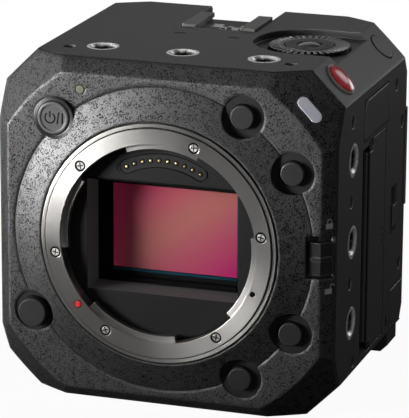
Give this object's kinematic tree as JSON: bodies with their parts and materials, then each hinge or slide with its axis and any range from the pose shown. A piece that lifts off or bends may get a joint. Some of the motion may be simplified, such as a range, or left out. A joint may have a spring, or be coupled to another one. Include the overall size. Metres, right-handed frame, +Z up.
{
  "type": "box video camera",
  "caption": "Box video camera body with an open bayonet lens mount, visible sensor, control dial, buttons, side card door, accessory shoe, tripod threads and a rear battery plate.",
  "frame": {"origin": "in the base plane, midway between the two base threads, under the lens axis", "axes": "+X to the right seen from the front, +Y from the lens mount to the back, +Z up"},
  "size_m": [0.0935, 0.0865, 0.0937],
  "materials": {
    "wrinkle_paint": "rough charcoal crinkle paint",
    "cover_paint": "smooth satin dark grey paint",
    "steel_ring": "turned and brushed",
    "black_plastic": "fine matt black",
    "chip": "dark sensor surface",
    "filter_glass": "pink iridescent coated filter glass",
    "gold": "gold plated",
    "red_dot": "red enamel",
    "screw_steel": "bright machined steel",
    "dark_screw": "blackened steel",
    "button_black": "satin black",
    "power_ring_metal": "dark anodised, fine turned",
    "rec_red": "glossy translucent red",
    "bezel_metal": "polished ring",
    "lamp_lens": "milky translucent",
    "led_lens": "clear lens over a dark hole",
    "frame_metal": "cast and machined",
    "circuit": "green board",
    "shoe_steel": "dark coated steel",
    "spring_steel": "bright spring steel",
    "dial_metal": "black, sharp teeth",
    "menu_gloss": "glossy dome",
    "rubber": "matt rubber",
    "connector_steel": "nickel plated",
    "socket_black": "black sockets"
  },
  "bodies": {
    "body": {"front_cover": "wrinkle_paint", "mount_disc": "wrinkle_paint", "lens_mount_ring": "steel_ring", "mount_screws": "screw_steel", "mount_index_dot": "red_dot", "light_box": "black_plastic", "contact_block": "black_plastic", "contact_pins": "gold", "sensor_mask": "black_plastic", "sensor_filter": "filter_glass", "sensor_chip": "chip", "sensor_carrier": "frame_metal", "button_cups": "black_plastic", "power_ring": "power_ring_metal", "status_led": "led_lens", "tally_lamp": "lamp_lens", "top_cover": "cover_paint", "left_cover": "cover_paint", "right_cover": "cover_paint", "base_cover": "cover_paint", "chassis": "frame_metal", "thread_inserts": "screw_steel", "case_screws": "dark_screw", "accessory_shoe": "shoe_steel", "shoe_spring": "spring_steel", "dial_base": "black_plastic", "rec_bezel": "bezel_metal", "button_switches": "circuit", "heat_sink": "frame_metal", "circuit_boards": "circuit", "board_spacers": "screw_steel", "inner_walls": "frame_metal", "door_hinge": "screw_steel", "card_cases": "connector_steel", "side_covers": "rubber", "rear_panel": "cover_paint", "battery_plate": "black_plastic", "battery_terminals": "gold", "rear_sockets": "socket_black", "video_jacks": "connector_steel", "rear_feet": "rubber"},
    "lens_release": {"lens_release_button": "button_black", "lock_pin": "dark_screw"},
    "power_button": {"power_button": "button_black"},
    "lock_slider": {"lock_slider": "button_black"},
    "rec_button": {"rec_button": "rec_red"},
    "display_button": {"display_button": "cover_paint"},
    "control_dial": {"control_dial": "dial_metal"},
    "cursor_ring": {"cursor_ring": "button_black"},
    "menu_button": {"menu_button": "menu_gloss"},
    "card_door": {"card_door": "cover_paint"},
    "card_lock": {"card_lock": "button_black"},
    "battery_latch": {"battery_latch": "button_black"},
    "fn_button_1": {"fn_button_1": "button_black"},
    "fn_button_2": {"fn_button_2": "button_black"},
    "fn_button_3": {"fn_button_3": "button_black"},
    "fn_button_4": {"fn_button_4": "button_black"},
    "left_button_1": {"left_button_1": "cover_paint"},
    "left_button_2": {"left_button_2": "cover_paint"},
    "left_button_3": {"left_button_3": "cover_paint"}
  },
  "joints": [
    {"name": "fn_button_1_press", "type": "slide", "parent": "body", "child": "fn_button_1", "axis": [0, 1, 0], "range_m": [0, 0.0004], "stiffness_N_per_m": 1500, "springref_m": -0.0002},
    {"name": "fn_button_2_press", "type": "slide", "parent": "body", "child": "fn_button_2", "axis": [0, 1, 0], "range_m": [0, 0.0004], "stiffness_N_per_m": 1500, "springref_m": -0.0002},
    {"name": "fn_button_3_press", "type": "slide", "parent": "body", "child": "fn_button_3", "axis": [0, 1, 0], "range_m": [0, 0.0004], "stiffness_N_per_m": 1500, "springref_m": -0.0002},
    {"name": "fn_button_4_press", "type": "slide", "parent": "body", "child": "fn_button_4", "axis": [0, 1, 0], "range_m": [0, 0.0004], "stiffness_N_per_m": 1500, "springref_m": -0.0002},
    {"name": "power_button_press", "type": "slide", "parent": "body", "child": "power_button", "axis": [0, 1, 0], "range_m": [0, 0.0004], "stiffness_N_per_m": 1500, "springref_m": -0.0002},
    {"name": "lens_release_press", "type": "slide", "parent": "body", "child": "lens_release", "axis": [0, 1, 0], "range_m": [0, 0.0012], "stiffness_N_per_m": 900, "springref_m": -0.0006},
    {"name": "rec_button_press", "type": "slide", "parent": "body", "child": "rec_button", "axis": [-0.7071, 0, -0.7071], "range_m": [0, 0.0004], "stiffness_N_per_m": 1500, "springref_m": -0.0002},
    {"name": "display_button_press", "type": "slide", "parent": "body", "child": "display_button", "axis": [-0.7071, 0, -0.7071], "range_m": [0, 0.0004], "stiffness_N_per_m": 1500, "springref_m": -0.0002},
    {"name": "left_button_1_press", "type": "slide", "parent": "body", "child": "left_button_1", "axis": [0.7071, 0, -0.7071], "range_m": [0, 0.0004], "stiffness_N_per_m": 1500, "springref_m": -0.0002},
    {"name": "left_button_2_press", "type": "slide", "parent": "body", "child": "left_button_2", "axis": [0.7071, 0, -0.7071], "range_m": [0, 0.0004], "stiffness_N_per_m": 1500, "springref_m": -0.0002},
    {"name": "left_button_3_press", "type": "slide", "parent": "body", "child": "left_button_3", "axis": [0.7071, 0, -0.7071], "range_m": [0, 0.0004], "stiffness_N_per_m": 1500, "springref_m": -0.0002},
    {"name": "menu_button_press", "type": "slide", "parent": "body", "child": "menu_button", "axis": [0, 0, -1], "range_m": [0, 0.0004], "stiffness_N_per_m": 1500, "springref_m": -0.0002},
    {"name": "cursor_ring_press", "type": "slide", "parent": "body", "child": "cursor_ring", "axis": [0, 0, -1], "range_m": [0, 0.0003], "stiffness_N_per_m": 1500, "springref_m": -0.00015},
    {"name": "battery_latch_press", "type": "slide", "parent": "body", "child": "battery_latch", "axis": [0, -1, 0], "range_m": [0, 0.0008], "stiffness_N_per_m": 900, "springref_m": -0.0004},
    {"name": "control_dial_turn", "type": "hinge", "parent": "body", "child": "control_dial", "pos_m": [0.0276, 0.0028, 0.0905], "axis": [0, 0, 1], "continuous": true},
    {"name": "lock_slider_slide", "type": "slide", "parent": "body", "child": "lock_slider", "axis": [0, 0, 1], "range_m": [0, 0.0016]},
    {"name": "card_lock_slide", "type": "slide", "parent": "body", "child": "card_lock", "axis": [0, 0, 1], "range_m": [0, 0.002]},
    {"name": "card_door_swing", "type": "hinge", "parent": "body", "child": "card_door", "pos_m": [0.0454, -0.00265, 0.04], "axis": [0, 0, -1], "range_deg": [0, 90]}
  ]
}
